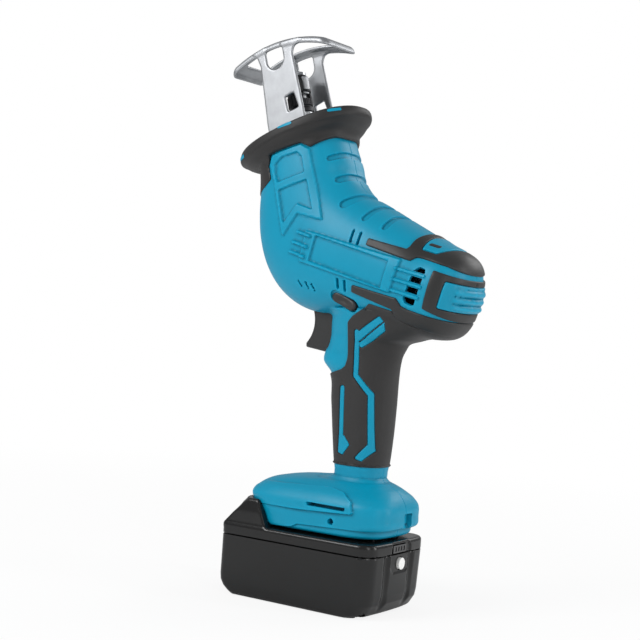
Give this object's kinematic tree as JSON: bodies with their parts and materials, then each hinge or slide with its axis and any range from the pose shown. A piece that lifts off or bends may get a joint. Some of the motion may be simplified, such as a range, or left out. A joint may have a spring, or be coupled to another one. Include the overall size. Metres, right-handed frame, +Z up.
{
  "type": "cordless reciprocating saw",
  "caption": "Upright cordless reciprocating saw: geared crank and plunger with a tool-free blade clamp, pistol grip with trigger, curved steel shoe and slide-on battery.",
  "frame": {"origin": "centre of the battery's flat bottom, on the plane where the housing parts", "axes": "+X towards the motor's rear end, +Y across to the tool's right, +Z up from the battery's bottom"},
  "size_m": [0.2031, 0.077, 0.3947],
  "materials": {
    "housing_plastic": "satin",
    "soft_rubber": "matt",
    "dark_plastic": "satin",
    "battery_plastic": "low gloss",
    "sheet_steel": "bright zinc",
    "machined_steel": "ground",
    "black_oxide": "black oxide",
    "cast_metal": "as cast",
    "bronze": "satin",
    "cell_wrap": "gloss",
    "window_plastic": "gloss",
    "white_plastic": "gloss"
  },
  "bodies": {
    "tool": {"housing_left": "housing_plastic", "housing_right": "housing_plastic", "nose_boot": "soft_rubber", "boot_strips": "housing_plastic", "grip_left": "soft_rubber", "grip_right": "soft_rubber", "upper_trim_left": "soft_rubber", "upper_trim_right": "soft_rubber", "lower_trim_left": "soft_rubber", "lower_trim_right": "soft_rubber", "rear_band_left": "soft_rubber", "rear_band_right": "soft_rubber", "rear_pad": "housing_plastic", "cap_badge": "housing_plastic", "gear_case": "cast_metal", "gear_case_cover": "cast_metal", "bearings": "machined_steel", "motor_can": "machined_steel", "motor_end_bell": "dark_plastic", "plunger_bushings": "bronze", "nose_seal": "soft_rubber", "shoe": "sheet_steel", "shoe_screws": "black_oxide", "trigger_switch": "dark_plastic", "terminal_block": "dark_plastic", "housing_screws": "black_oxide"},
    "crank": {"crank_gear": "machined_steel", "crank_shaft": "machined_steel"},
    "motor": {"pinion": "machined_steel", "armature": "machined_steel", "cooling_fan": "dark_plastic"},
    "plunger": {"plunger": "machined_steel", "clamp_body": "machined_steel"},
    "clamp": {"clamp_sleeve": "black_oxide"},
    "trigger": {"trigger": "dark_plastic"},
    "lock": {"lock_button": "dark_plastic"},
    "battery": {"battery_lower": "battery_plastic", "battery_upper": "battery_plastic", "battery_cells": "cell_wrap", "cell_frame": "dark_plastic", "battery_contacts": "bronze", "gauge_window": "window_plastic", "battery_screws": "black_oxide"},
    "release": {"release_button": "dark_plastic"},
    "check": {"check_button": "white_plastic"}
  },
  "joints": [
    {"name": "crank_spin", "type": "hinge", "parent": "tool", "child": "crank", "pos_m": [-0.0155, 0, 0.247], "axis": [0, 1, 0], "continuous": true},
    {"name": "motor_spin", "type": "hinge", "parent": "tool", "child": "motor", "pos_m": [-0.0155, 0, 0.247], "axis": [0.9744, 0, -0.225], "continuous": true},
    {"name": "plunger_slide", "type": "slide", "parent": "tool", "child": "plunger", "axis": [-0.2756, 0, 0.9613], "range_m": [-0.01, 0.01]},
    {"name": "clamp_turn", "type": "hinge", "parent": "plunger", "child": "clamp", "pos_m": [-0.04306, 0, 0.34313], "axis": [-0.2756, 0, 0.9613], "range_deg": [0, 60], "stiffness_Nm_per_rad": 0.05},
    {"name": "trigger_pull", "type": "slide", "parent": "tool", "child": "trigger", "axis": [1, 0, 0], "range_m": [0, 0.007], "stiffness_N_per_m": 900},
    {"name": "lock_slide", "type": "slide", "parent": "tool", "child": "lock", "axis": [0, 1, 0], "range_m": [0, 0.004]},
    {"name": "battery_slide", "type": "slide", "parent": "tool", "child": "battery", "axis": [-1, 0, 0], "range_m": [0, 0.13]},
    {"name": "release_press", "type": "slide", "parent": "battery", "child": "release", "axis": [-0.3796, 0, -0.9251], "range_m": [0, 0.003], "stiffness_N_per_m": 800},
    {"name": "check_press", "type": "slide", "parent": "battery", "child": "check", "axis": [-1, 0, 0], "range_m": [0, 0.0008], "stiffness_N_per_m": 900}
  ],
  "couplings": [
    {"joint": "motor_spin", "follows": "crank_spin", "ratio": -4}
  ]
}
